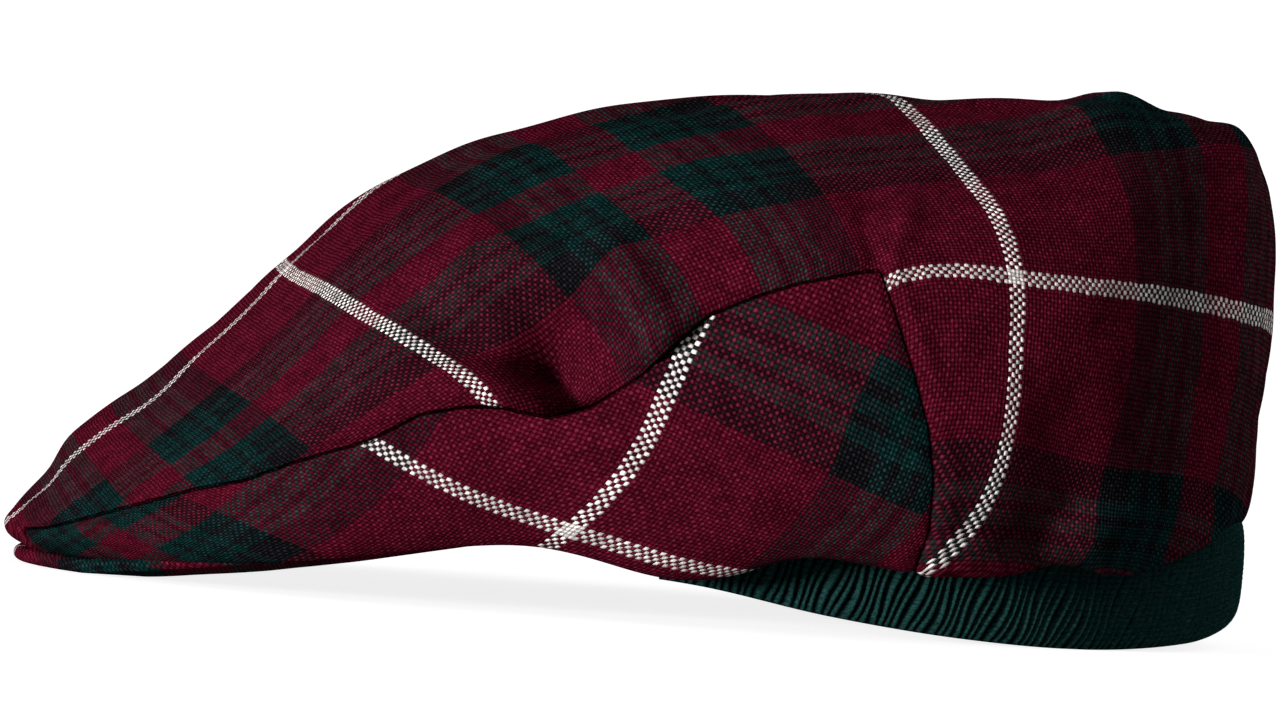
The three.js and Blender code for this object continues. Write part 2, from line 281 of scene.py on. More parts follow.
# The peak: degrees from the front to each end, thickness, and a flat strip along its edge
PEAK_REACH = 60
PEAK_THICKNESS = 3.2
PEAK_FLAT = 16.0
PEAK_STEPS = 180
PEAK_ROWS = 14
PEAK_EDGE_ROWS = 13
PEAK_INNER_ROWS = 9
PEAK_SECTIONS = (
    # angle, outer edge, inner edge
    (0, (169.3, 0), (97, 11)),
    (20, (161.5, 0), (95, 11)),
    (40, (137, 7.2), (91, 11.5)),
    (60, (106, 16.5), (96, 16.5)),
    (80, (100, 17), (96, 17)),
    (100, (100, 17), (96, 17)),
)

# The knit band: an oval as wide and long as the head, the angle where it begins, its wall, the
# heights of its lower edge for each step of the sections, and its ribs
OPENING_HALF_WIDTH = 84.0
OPENING_HALF_LENGTH = 99.5
BAND_RADIUS = 92
BAND_START = 74
KNIT_WALL = 3.0
BAND_HEIGHT = 25.0
BAND_BULGE = 0.8
EDGE_ROUNDING = 1.2
BAND_BOTTOMS = (10, 10, 10, 10, 8.5, 4, 1, 0, 1.8, 5.2)
BAND_ROWS = 25
RIB_COUNT = 165
RIB_DEPTH = 0.5
RIB_LEAN = 0.32
RIB_SWAYS = (
    # ribs aside, turn for each rib, turn over the band's height
    (0.25, 0.7, 5), (0.15, 1.9, -11),
)
STEPS_PER_RIB = 8

# The knit's stitches, their painted shade in rib valleys as for the weave, and how far ribs and
# rows wander
STITCH_LENGTH = 1.25
STITCH_BEND = 2.0
LOOP_SPREAD = 0.3
LOOP_RELIEF = 0.5
KNIT_RELIEF = 0.3
KNIT_LEAST = 0.08
KNIT_LIT = 1.6
VALLEY_SHARPNESS = 1.3
KNIT_FIBRE_SPREAD = 3.2
KNIT_FIBRE_FINENESS = 3.6
WANDER_SPREAD = 1.0
WANDER_FINENESS = 0.8
RIB_WANDER = 0.35
ROW_WANDER = 7.0


def catmull_rom(a, b, c, d, t):
    return b + 0.5 * t * (c - a + t * (2 * a - 5 * b + 4 * c - d + t * (3 * (b - c) + d - a)))


# A table's row at any angle; its rows go from the front to the back and both sides are alike
def at_angle(table, angle):
    table = np.asarray(table, float)
    last = len(table) - 1
    folded = np.abs((np.asarray(angle, float) + 180) % 360 - 180) / SECTION_STEP
    row = np.minimum(folded.astype(int), last - 1)
    near = [table[last - np.abs(last - np.abs(row + k))] for k in (-1, 0, 1, 2)]
    t = (folded - row).reshape(folded.shape + (1,) * (table.ndim - 1))
    return catmull_rom(*near, t)


# The points at angles round the axis, distances from it and heights
def around(angle, distance, height):
    turn = np.radians(angle)
    across = distance * np.sin(turn)
    along = AXIS_Y - distance * np.cos(turn)
    return np.stack(np.broadcast_arrays(across, along, height), -1)


# The smooth outer face of the cloth; a ring of 0 is the apex and 6 the hem
def smooth_cloth(angles, rings):
    table = [row[1:] for row in SECTIONS]
    found = at_angle(table, angles)
    opposite = at_angle(table, angles + 180)[..., 0, :]
    knots = [around(angles + 180, opposite[..., 0], opposite[..., 1])]
    knots.append(np.broadcast_to(np.array((0, AXIS_Y, APEX_Z)), knots[0].shape))
    for k in range(RING_COUNT):
        knots.append(around(angles, found[..., k, 0], found[..., k, 1]))
    knots.append(2 * knots[-1] - knots[-2])
    knots = np.stack(knots)
    start = np.minimum(rings.astype(int), RING_COUNT - 1)
    t = (rings - start)[..., None]
    p = [np.take_along_axis(knots, (start + k)[None, ..., None], 0)[0] for k in range(4)]
    d = [np.sqrt(np.linalg.norm(p[k + 1] - p[k], axis=-1, keepdims=True)) for k in range(3)]
    enter = d[1] * ((p[1] - p[0]) / d[0] - (p[2] - p[0]) / (d[0] + d[1]) + (p[2] - p[1]) / d[1])
    leave = d[1] * ((p[2] - p[1]) / d[1] - (p[3] - p[1]) / (d[1] + d[2]) + (p[3] - p[2]) / d[2])
    bend = 3 * (p[2] - p[1]) - 2 * enter - leave
    return p[1] + t * (enter + t * (bend + t * (2 * (p[1] - p[2]) + enter + leave)))


# How far each point lies from a line seen from the side
def distance_from_line(points, start, end):
    start, end = np.array(start, float), np.array(end, float)
    along = end - start
    seen = points[..., 1:] - start
    t = np.clip(seen @ along / (along @ along), 0, 1)
    return np.linalg.norm(seen - t[..., None] * along, axis=-1)


# How far the folds of a panel move each point of the cloth outwards
def fold_depth(points, panel):
    depth = np.zeros(points.shape[:-1])
    for _, where, side, start, end, reach, height, roundness in FOLDS:
        if where in (panel, "both"):
            there = points[..., 0] * side >= 0
            away = distance_from_line(points, start, end) / reach
            depth += np.where(there, height * np.exp(-away ** roundness), 0)
    return depth


# How far the small undulations move each point outwards
def wave_height(points):
    height = np.zeros(points.shape[:-1])
    for direction, length, phase, amount in WAVES:
        height += amount * np.sin(points @ np.array(direction) * 2 * math.pi / length + phase)
    return height


# How far the lower edge is lifted at each angle and ring
def hem_lift(angles, rings):
    folded = np.abs((angles + 180) % 360 - 180)
    lift = sum(height * np.exp(-((folded - at) / width) ** 2) for at, width, height in HEM_LIFTS)
    return lift * np.clip((rings - WIDEST_RING) / HEM_REACH, 0, 1)


# Unit normals of a closed grid of points, outwards
def grid_normals(points):
    round_it = np.roll(points, -1, 0) - np.roll(points, 1, 0)
    down = np.gradient(points, axis=1)
    normals = np.cross(down, round_it)
    return normals / (np.linalg.norm(normals, axis=-1, keepdims=True) + 1e-9)


# The cloth's face as a grid with one column for each step round it. Each vertex has its point, its
# normal and its point before any folds.
def cloth_grid(steps, rows, panel):
    rings = np.concatenate([ring + np.arange(1, n + 1) / n for ring, n in enumerate(rows)])
    angles = np.arange(steps) * 360.0 / steps
    angles, rings = np.broadcast_arrays(angles[:, None], rings[None, :])
    smooth = smooth_cloth(angles, rings)
    smooth[..., 2] += hem_lift(angles, rings)
    moved = (fold_depth(smooth, panel) + wave_height(smooth))[..., None]
    level = around(angles, 1.0, 0.0) - (0, AXIS_Y, 0)
    low = np.clip((rings - LEVEL_RING) / LEVEL_REACH, 0, 1)[..., None]
    outwards = grid_normals(smooth) * (1 - low) + level * low
    points = smooth + moved * outwards
    return np.concatenate([points, grid_normals(points), smooth], -1)


# Triangles of a closed grid, with a fan round the added last point
def grid_triangles(steps, rows):
    column = np.arange(steps)[:, None] * rows
    beside = (np.arange(1, steps + 1)[:, None] % steps) * rows
    row = np.arange(rows - 1)[None, :]
    a, b = column + row, beside + row
    lower = np.stack([a, a + 1, b + 1], -1).reshape(-1, 3)
    upper = np.stack([a, b + 1, b], -1).reshape(-1, 3)
    apex = np.full((steps, 1), steps * rows)
    fan = np.hstack([apex, column, beside])
    return np.vstack([lower, upper, fan])


# Distance from the side panel's outline, below 0 within the panel
def seam_distance(points):
    outline = np.array(SIDE_PANEL, float)
    nearest = np.full(len(points), 1e9)
    inside = np.zeros(len(points), bool)
    y, z = points[:, 1], points[:, 2]
    for start, end in zip(outline, np.roll(outline, -1, 0)):
        nearest = np.minimum(nearest, distance_from_line(points, start, end))
        if start[1] != end[1]:
            crossing = start[0] + (z - start[1]) * (end[0] - start[0]) / (end[1] - start[1])
            inside ^= ((start[1] > z) != (end[1] > z)) & (y < crossing)
    signed = np.where(inside, -nearest, nearest)
    return np.maximum(signed, SIDE_PANEL_START - np.abs(points[:, 0]))


# Cuts triangles where a value crosses 0 and keeps the part above it; values at vertices
def cut_triangles(triangles, values, keep_above):
    sign = values if keep_above else -values
    above = sign[triangles] > 0
    count = above.sum(1)
    kept = [tuple(t) for t in triangles[count == 3]]
    made = {}
    blends = []

    def crossing(i, j):
        key = (min(i, j), max(i, j))
        if key not in made:
            made[key] = len(values) + len(blends)
            blends.append((key[0], key[1], sign[key[0]] / (sign[key[0]] - sign[key[1]])))
        return made[key]

    for t, up in zip(triangles[(count == 1) | (count == 2)], above[(count == 1) | (count == 2)]):
        lone = int(np.argmax(up)) if up.sum() == 1 else int(np.argmin(up))
        a, b, c = (int(t[(lone + k) % 3]) for k in range(3))
        ab, ac = crossing(a, b), crossing(a, c)
        if up.sum() == 1:
            kept.append((a, ab, ac))
        else:
            kept += [(ab, b, c), (ab, c, ac)]
    return np.array(kept), blends


# Adds the vertices that a cut made to a list of values at vertices
def with_blends(values, blends):
    if not blends:
        return values
    i, j, t = (np.array(column) for column in zip(*blends))
    t = t.reshape((-1,) + (1,) * (values.ndim - 1))
    return np.concatenate([values, values[i] * (1 - t) + values[j] * t])


# A panel's own vertices and triangles, with the cut edge pulled in along the seam
def panel_surface(vertices, triangles, distance, wanted):
    gap = SEAM_GAP / 2 if wanted == "crown" else -SEAM_GAP / 2
    distance = distance - gap
    kept, blends = cut_triangles(triangles, distance, wanted == "crown")
    vertices = with_blends(vertices, blends)
    away = np.abs(with_blends(distance, blends))
    away[len(distance):] = 0
    if wanted != "crown":
        side = 1 if wanted == "left" else -1
        kept = kept[(vertices[kept, 0] * side > 0).all(1)]
    used, kept = np.unique(kept, return_inverse=True)
    return np.split(vertices[used], 3, axis=1), away[used], kept.reshape(-1, 3)


# How far a seam lifts the cloth at these distances from it; the puff beside it is puckered
def seam_lift(points, away, panel):
    groove = -SEAM_DEPTH[panel] * np.exp(-(away / SEAM_REACH[panel]) ** 2)
    puff = PUFF_HEIGHT[panel] * np.exp(-((away - PUFF_AWAY) / PUFF_REACH) ** 2)
    turn = 2 * math.pi / PUCKER_LENGTH
    stray = PUCKER_STRAY * np.sin(points[:, 1] / PUCKER_STRAY_LENGTH)
    pucker = np.sin(points[:, 1] * turn + stray + points[:, 2] * turn * PUCKER_SLANT)
    return groove + puff * (1 + PUCKER_SHARE * pucker)


# Edges that only one triangle has, in its direction
def open_edges(triangles):
    edges = np.vstack([triangles[:, [0, 1]], triangles[:, [1, 2]], triangles[:, [2, 0]]])
    key = np.sort(edges, 1)
    _, first, count = np.unique(key, axis=0, return_index=True, return_counts=True)
    return edges[first[count == 1]]


# Closes a surface's open edges with a strip that goes inwards
def add_skirt(points, inwards, triangles):
    edges = open_edges(triangles)
    rim, place = np.unique(edges, return_inverse=True)
    place = place.reshape(-1, 2) + len(points)
    low = points[rim] + inwards[rim]
    a, b = edges.T
    c, d = place.T
    strip = np.vstack([np.stack([b, a, c], 1), np.stack([b, c, d], 1)])
    return np.vstack([points, low]), np.vstack([triangles, strip]), rim


def camera_axes():
    azimuth, elevation = math.radians(CAMERA_AZIMUTH), math.radians(CAMERA_ELEVATION)
    roll = math.radians(CAMERA_ROLL)
    flat = math.cos(elevation)
    back = np.array((math.sin(azimuth) * flat, -math.cos(azimuth) * flat, math.sin(elevation)))
    level = np.array((math.cos(azimuth), math.sin(azimuth), 0))
    upright = np.cross(back, level)
    right = level * math.cos(roll) + upright * math.sin(roll)
    up = upright * math.cos(roll) - level * math.sin(roll)
    return right, up, back


# Where points are in the photo
def to_pixels(points):
    right, up, back = camera_axes()
    away = points - np.array(CAMERA_TARGET)
    scale = CAMERA_SCALE * CAMERA_DISTANCE / (CAMERA_DISTANCE - away @ back)
    x = PHOTO_SIZE[0] / 2 + scale * (away @ right)
    y = PHOTO_SIZE[1] / 2 - scale * (away @ up)
    return np.stack([x, y], -1)


# The visible point of a surface at each place in the photo, given as it was before any folds, and
# how squarely the surface faces the camera there
def points_at(pixels, points, normals, smooth):
    back = camera_axes()[2]
    facing = normals @ back
    front = facing > LEAST_SHOWN
    points, smooth, facing = points[front], smooth[front], facing[front]
    seen = to_pixels(points)
    found = []
    for pixel in pixels:
        gap = np.hypot(*(seen - pixel).T)
        near = gap < max(PIXEL_REACH, gap.min() + 1)
        found.append(np.argmax(np.where(near, points @ back - gap, -1e9)))
    return smooth[found], facing[found]


# A smooth function of place that takes nearly the given values at the given places; the more
# so the less soft they are
def smooth_field(places, values, softness):
    centres = places / FIELD_UNIT
    n = len(centres)
    system = np.zeros((n + 4, n + 4))
    system[:n, :n] = np.linalg.norm(centres[:, None] - centres[None], axis=-1) ** 3
    system[:n, :n] += np.diag(softness)
    system[:n, n:] = np.hstack([np.ones((n, 1)), centres])
    system[n:, :n] = system[:n, n:].T
    weights = np.linalg.solve(system, np.vstack([values, np.zeros((4, 2))]))

    def field(points):
        parts = []
        for part in np.array_split(points / FIELD_UNIT, max(1, len(points) // FIELD_BATCH)):
            cubes = np.linalg.norm(part[:, None] - centres[None], axis=-1) ** 3
            parts.append(np.hstack([cubes, np.ones((len(part), 1)), part]) @ weights)
        return np.vstack(parts)

    return field


# How threads lie on the near side of a panel, from a table of places in the photo; a place near
# the cap's outline, where the photo shows little, counts for less
def near_field(table, points, normals, smooth, middle=()):
    table = np.array(table, float)
    places, facing = points_at(table[:, :2], points, normals, smooth)
    softness = THREAD_SMOOTHING / np.maximum(facing, LEAST_FACING) ** 3
    values = table[:, 2:]
    for y, z, outwards, back in middle:
        places = np.vstack([places, (0, y, z)])
        values = np.vstack([values, (outwards, back)])
        softness = np.append(softness, THREAD_SMOOTHING)
    near = smooth_field(places, values, softness)
    return lambda places: near(np.abs(places * (1, 0, 0)) + places * (0, 1, 1))


# The crown's threads run on over the middle of the cap, so that each section is turned about its
# middle on the far side. Down the back they are mirrored instead, and the halves meet unmatched.
def crown_field(points, normals, smooth):
    near = near_field(CROWN_THREADS, points, normals, smooth, BACK_THREADS)
    rings = np.linspace(0.2, WIDEST_RING, 30)
    front, back = (smooth_cloth(np.full(len(rings), angle), rings) for angle in (0.0, 180.0))
    middle = np.vstack([front[::-1], back])

    def centre_at(y):
        return near(np.stack([np.zeros(len(y)), y, np.interp(y, middle[:, 1], middle[:, 2])], 1))

    ends = centre_at(np.array([TURNED_TO, MIRRORED_FROM]))
    direction = (ends[1] - ends[0]) / np.linalg.norm(ends[1] - ends[0])

    def field(places):
        threads = near(places)
        centre = centre_at(np.minimum(places[:, 1], MIRRORED_FROM))
        away = threads - centre
        share = (places[:, 1:2] - TURNED_TO) / (MIRRORED_FROM - TURNED_TO)
        kept = 2 * (away @ direction)[:, None] * direction * np.clip(share, 0, 1)
        return np.where(places[:, :1] < 0, centre - away + kept, threads)

    return field


# Straight threads over the peak, from places laid out flat
def peak_field(places):
    across = places[:, 0] / THREAD_PITCH + PEAK_TIP_THREADS[0]
    along = (places[:, 1] - PEAK_TIP_Y) / THREAD_PITCH + PEAK_TIP_THREADS[1]
    return np.stack([across, along], 1)


# A mesh object from points in mm. Its texture places are the counts of threads and, in mm, the
# distance from the nearest seam beside a place along it.
def add_mesh(name, points, faces, threads, seam, material, node):
    mesh = bpy.data.meshes.new(name)
    mesh.from_pydata((points * MM).tolist(), [], faces.tolist())
    mesh.update()
    corners = np.zeros(len(mesh.loops), np.int32)
    mesh.loops.foreach_get("vertex_index", corners)
    for layer_name, values in (("threads", threads), ("seam", seam)):
        layer = mesh.uv_layers.new(name=layer_name)
        layer.uv.foreach_set("vector", values[corners].astype(np.float32).ravel())
    mesh.shade_smooth()
    mesh.materials.append(material)
    piece = bpy.data.objects.new(name, mesh)
    bpy.context.scene.collection.objects.link(piece)
    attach(piece, "root")
    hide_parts(node)


# A panel's two faces before they are cut to its outline: a fine outer one and a coarser inner one
def panel_faces(panel):
    faces = []
    for steps, rows, wall in ((FINE_STEPS, FINE_ROWS, 0), (LINING_STEPS, LINING_ROWS, CLOTH_WALL)):
        grid = cloth_grid(steps, rows, panel)
        apex = np.array([[0, AXIS_Y, APEX_Z, 0, 0, 1, 0, AXIS_Y, APEX_Z]])
        vertices = np.vstack([grid.reshape(-1, 9), apex])
        vertices[:, :3] -= vertices[:, 3:6] * wall
        faces.append((vertices, grid_triangles(*grid.shape[:2]), seam_distance(vertices[:, :3])))
    return faces


# How threads lie on a panel, found from its outer face
def panel_field(panel, outer):
    vertices, _, distance = outer
    within = distance > -PANEL_MARGIN if panel == "crown" else distance < PANEL_MARGIN
    seen = within & (vertices[:, 0] > 0)
    points, normals, smooth = np.split(vertices[seen], 3, axis=1)
    if panel == "crown":
        return crown_field(points, normals, smooth)
    return near_field(SIDE_THREADS, points, normals, smooth)


# Puffs up an outer face along its seams and turns its edges in. Where its panel stands higher than
# the other one, the edge reaches down to that.
def turn_in(points, normals, smooth, away, triangles, panel, other):
    points = points + normals * seam_lift(points, away, panel)[:, None]
    step = np.maximum(fold_depth(smooth, panel) - fold_depth(smooth, other), 0)
    across = np.sign(points) * (1, 0, 0)
    inwards = -CLOTH_WALL * normals - across * step[:, None] * SKIRT_SHARE
    return add_skirt(points, inwards, triangles)


# Crown and side panels: each has an outer face with turned-in edges, and an inner one
def make_cloth(material):
    for node, panel, other, wanted in (
        ("crown_panel", "crown", "side", "crown"),
        ("side_panel_left", "side", "crown", "left"),
        ("side_panel_right", "side", "crown", "right"),
    ):
        outer, inner = panel_faces(panel)
        field = panel_field(panel, outer)
        (points, normals, smooth), away, faces = panel_surface(*outer, wanted)
        threads = field(smooth)
        seam = np.stack([away, points[:, 1] - points[:, 2]], 1)
        cloth, faces, rim = turn_in(points, normals, smooth, away, faces, panel, other)
        (lining, _, smooth), away, inner_faces = panel_surface(*inner, wanted)
        inner_seam = np.stack([away, lining[:, 1] - lining[:, 2]], 1)
        threads = np.vstack([threads, threads[rim], field(smooth)])
        seam = np.vstack([seam, seam[rim], inner_seam])
        faces = np.vstack([faces, inner_faces[:, ::-1] + len(cloth)])
        cloth = np.vstack([cloth, lining])
        add_mesh(node + "_cloth", cloth, faces, threads, seam, material, node)


# Quads round a loft: each section is a closed line, and the ends are closed by a fan
def loft_faces(sections, size):
    faces = []
    for i in range(sections - 1):
        for j in range(size):
            a, b = i * size + j, i * size + (j + 1) % size
            faces.append((a, b, b + size))
            faces.append((a, b + size, a + size))
    end = (sections - 1) * size
    for j in range(1, size - 1):
        faces.append((0, j + 1, j))
        faces.append((end, end + j, end + j + 1))
    return np.array(faces)


# The peak's outline at all angles: its upper face, its underside, and the edges between them.
# Each entry is a distance, a height, and the distance if the cover were laid out flat.
def peak_outline(angles):
    found = at_angle([row[1:] for row in PEAK_SECTIONS], angles)
    outer, outer_z = found[:, 0, 0], np.maximum(found[:, 0, 1], 0)
    inner, inner_z = found[:, 1, 0], found[:, 1, 1]
    half = PEAK_THICKNESS / 2
    outer, inner = outer - half, inner + half
    flat = np.minimum(PEAK_FLAT, (outer - inner) / 3)
    wrap = half * math.pi
    outline = []
    for turn in np.radians(np.linspace(-90, 90, PEAK_EDGE_ROWS)):
        height = outer_z + half + half * math.sin(turn)
        laid = outer + half * (math.pi / 2 - turn)
        outline.append((outer + half * math.cos(turn), height, laid))
    for t in np.linspace(0, 1, PEAK_ROWS)[1:]:
        distance = outer + (inner - outer) * t
        slope = np.clip((outer - distance - flat) / (outer - inner - flat), 0, 1)
        height = outer_z + (inner_z - outer_z) * slope + PEAK_THICKNESS
        outline.append((distance, height, distance))
    for turn in np.radians(np.linspace(90, 270, PEAK_INNER_ROWS))[1:]:
        height = inner_z + half + half * math.sin(turn)
        outline.append((inner + half * math.cos(turn), height, inner + wrap))
    for t in np.linspace(1, 0, PEAK_ROWS)[1:-1]:
        distance = outer + (inner - outer) * t
        slope = np.clip((outer - distance - flat) / (outer - inner - flat), 0, 1)
        outline.append((distance, outer_z + (inner_z - outer_z) * slope, distance + wrap))
    return outline


# The stiff peak: two faces and rounded edges
def make_peak(material):
    angles = np.linspace(-PEAK_REACH, PEAK_REACH, PEAK_STEPS + 1)
    outline = peak_outline(angles)
    points = np.stack([around(angles, d, z) for d, z, _ in outline], 1).reshape(-1, 3)
    laid_out = np.stack([around(angles, laid, z) for _, z, laid in outline], 1).reshape(-1, 3)
    faces = loft_faces(len(angles), len(outline))
    threads = peak_field(laid_out)
    seam = np.full((len(points), 2), FAR_FROM_SEAM)
    add_mesh("peak_cloth", points, faces, threads, seam, material, "peak")


# The knit band: ribs all round, leaning and a little uneven. Its outline goes up the outer face and
# down the inner one.
def make_band(material):
    steps = RIB_COUNT * STEPS_PER_RIB
    angles = np.linspace(BAND_START, 360 - BAND_START, steps + 1)
    facing = np.radians(angles)
    across, along = np.sin(facing) / OPENING_HALF_WIDTH, np.cos(facing) / OPENING_HALF_LENGTH
    oval = 1 / np.hypot(across, along)
    bottom = np.maximum(at_angle(BAND_BOTTOMS, angles), 0)
    travel = np.linspace(0, RIB_COUNT, steps + 1)
    rib_width = math.radians(360 - 2 * BAND_START) * BAND_RADIUS / RIB_COUNT
    heights = np.linspace(0, 1, BAND_ROWS)
    outline = [(0, t) for t in heights] + [(KNIT_WALL, t) for t in heights[::-2]]
    points, threads = [], []
    for inwards, t in outline:
        lean = RIB_LEAN * BAND_HEIGHT * t / rib_width
        sway = sum(aside * np.sin(travel * turn + t * rise) for aside, turn, rise in RIB_SWAYS)
        place = travel - np.sign(180 - angles) * lean + sway
        rib = np.cos(2 * math.pi * place) * RIB_DEPTH
        end = abs(2 * t - 1) ** 6
        bulge = BAND_BULGE * (1 - (2 * t - 1) ** 2)
        turned = EDGE_ROUNDING * end * (1 if inwards else -1)
        distance = oval - inwards + bulge + turned + rib * (1 - end)
        points.append(around(angles, distance, bottom + BAND_HEIGHT * t))
        threads.append(np.stack([place, np.full(steps + 1, BAND_HEIGHT * t)], 1))
    points = np.stack(points, 1).reshape(-1, 3)
    threads = np.stack(threads, 1).reshape(-1, 2)
    faces = loft_faces(steps + 1, len(outline))[:, ::-1]
    seam = np.full((len(points), 2), FAR_FROM_SEAM)
    add_mesh("knit_band_ribs", points, faces, threads, seam, material, "knit_band")


# Adds a math node; inputs are sockets or numbers
def math_node(tree, operation, *inputs):
    node = tree.nodes.new("ShaderNodeMath")
    node.operation = operation
    for socket, value in zip(node.inputs, inputs):
        if isinstance(value, (int, float)):
            socket.default_value = value
        else:
            tree.links.new(value, socket)
    return node.outputs[0]


def mix_colours(tree, factor, a, b):
    node = tree.nodes.new("ShaderNodeMix")
    node.data_type = "RGBA"
    sockets = (node.inputs["Factor"], node.inputs[6], node.inputs[7])
    for socket, value in zip(sockets, (factor, a, b)):
        if isinstance(value, float):
            socket.default_value = value
        elif isinstance(value, tuple):
            socket.default_value = (*value, 1)
        else:
            tree.links.new(value, socket)
    return node.outputs[2]


# The yarn's colour by the number of a thread, with another yarn in place of the white
def yarn_colour(tree, number, white="white"):
    total = sum(count for _, count in SETT)
    counted = math_node(tree, "DIVIDE", math_node(tree, "ADD", number, 0.5), WEAVE_FINENESS)
    within = math_node(tree, "FLOORED_MODULO", counted, total)
    place = math_node(tree, "DIVIDE", within, total)
    ramp = tree.nodes.new("ShaderNodeValToRGB")
    ramp.color_ramp.interpolation = "CONSTANT"
    marks = ramp.color_ramp.elements
    marks.remove(marks[1])
    first = 0
    for i, (yarn, count) in enumerate(SETT):
        mark = marks[0] if i == 0 else marks.new(first / total)
        mark.color = (*YARNS[white if yarn == "white" else yarn], 1)
        first += count
    tree.links.new(place, ramp.inputs[0])
    return ramp.outputs[0]


def noise(tree, vector, scale, detail=2.0):
    node = tree.nodes.new("ShaderNodeTexNoise")
    node.inputs["Scale"].default_value = scale
    node.inputs["Detail"].default_value = detail
    tree.links.new(vector, node.inputs["Vector"])
    return node


def new_material(name):
    material = bpy.data.materials.new(name)
    material.use_nodes = True
    tree = material.node_tree
    shader = tree.nodes["Principled BSDF"]
    return material, tree, shader


def uv_places(tree, name):
    node = tree.nodes.new("ShaderNodeUVMap")
    node.uv_map = name
    return node.outputs[0]


def split_vector(tree, vector):
    node = tree.nodes.new("ShaderNodeSeparateXYZ")
    tree.links.new(vector, node.inputs[0])
    return node.outputs


# A shade changed by values from 0 to 1, each with the spread that its change has about 1
def varied(tree, shade, changes):
    for value, spread in changes:
        change = math_node(tree, "MULTIPLY_ADD", value, spread, 1 - spread / 2)
        shade = math_node(tree, "MULTIPLY", shade, change)
    return shade


def make_matt(shader):
    shader.inputs["Roughness"].default_value = 1.0
    shader.inputs["Specular IOR Level"].default_value = 0.0


# A matt surface of yarn: a colour, its shade, and a relief with its height in mm
def finish_yarn(tree, shader, colour, shade, relief, height):
    scale = tree.nodes.new("ShaderNodeVectorMath")
    scale.operation = "SCALE"
    if isinstance(colour, tuple):
        scale.inputs[0].default_value = colour
    else:
        tree.links.new(colour, scale.inputs[0])
    tree.links.new(shade, scale.inputs["Scale"])
    tree.links.new(scale.outputs[0], shader.inputs["Base Color"])
    bump = tree.nodes.new("ShaderNodeBump")
    bump.inputs["Distance"].default_value = height * MM
    tree.links.new(relief, bump.inputs["Height"])
    tree.links.new(bump.outputs[0], shader.inputs["Normal"])
    make_matt(shader)


# Places counted in woven threads both ways, with the threads straying a little
def woven_places(tree, places):
    stray = noise(tree, places, STRAY_FINENESS)
    shift = tree.nodes.new("ShaderNodeVectorMath")
    shift.operation = "MULTIPLY_ADD"
    tree.links.new(stray.outputs["Color"], shift.inputs[0])
    shift.inputs[1].default_value = (THREAD_STRAY, THREAD_STRAY, 0)
    tree.links.new(places, shift.inputs[2])
    counts = split_vector(tree, shift.outputs[0])
    return [math_node(tree, "MULTIPLY", counts[k], WEAVE_FINENESS) for k in (0, 1)]


# Plain weave: threads one way pass over and under those the other way. Gives the number of the
# thread each way, which of the two is on top, and how high the one on top stands.
def plain_weave(tree, u, v):
    warp, weft = math_node(tree, "FLOOR", u), math_node(tree, "FLOOR", v)
    in_warp = math_node(tree, "SUBTRACT", math_node(tree, "FRACT", u), 0.5)
    in_weft = math_node(tree, "SUBTRACT", math_node(tree, "FRACT", v), 0.5)
    weft_over = math_node(tree, "FLOORED_MODULO", math_node(tree, "ADD", warp, weft), 2.0)
    swap = math_node(tree, "SUBTRACT", in_weft, in_warp)
    across = math_node(tree, "MULTIPLY_ADD", swap, weft_over, in_warp)
    along = math_node(tree, "SUBTRACT", math_node(tree, "ADD", in_warp, in_weft), across)
    width, length = (
        math_node(tree, "MULTIPLY", math_node(tree, "MULTIPLY", place, place), -fall)
        for place, fall in ((across, THREAD_FALL_ACROSS), (along, THREAD_FALL_ALONG))
    )
    height = math_node(tree, "ADD", math_node(tree, "ADD", width, length), 1.0)
    height = math_node(tree, "MAXIMUM", height, 0.0)
    raised = math_node(tree, "MULTIPLY_ADD", weft_over, 1 - WARP_LEVEL, WARP_LEVEL)
    return warp, weft, weft_over, math_node(tree, "MULTIPLY", height, raised)


# The colour of the thread on top, with a little of the one below
def weave_colour(tree, warp, weft, weft_over):
    over = mix_colours(tree, weft_over, yarn_colour(tree, warp), yarn_colour(tree, weft))
    below = mix_colours(
        tree, weft_over, yarn_colour(tree, weft, "red"), yarn_colour(tree, warp, "red")
    )
    return mix_colours(tree, THREAD_BLEED, over, below)


# A random value for each crossing of two threads
def crossing_chance(tree, warp, weft):
    crossing = tree.nodes.new("ShaderNodeCombineXYZ")
    tree.links.new(warp, crossing.inputs[0])
    tree.links.new(weft, crossing.inputs[1])
    chance = tree.nodes.new("ShaderNodeTexWhiteNoise")
    chance.noise_dimensions = "2D"
    tree.links.new(crossing.outputs[0], chance.inputs["Vector"])
    return chance.outputs["Value"]


# 0 at a seam, rising to 1 beside its furrow
def beside_seam(tree):
    away = split_vector(tree, uv_places(tree, "seam"))[0]
    beside = math_node(tree, "DIVIDE", away, SEAM_LINE)
    return math_node(tree, "MINIMUM", math_node(tree, "MULTIPLY", beside, beside), 1.0)


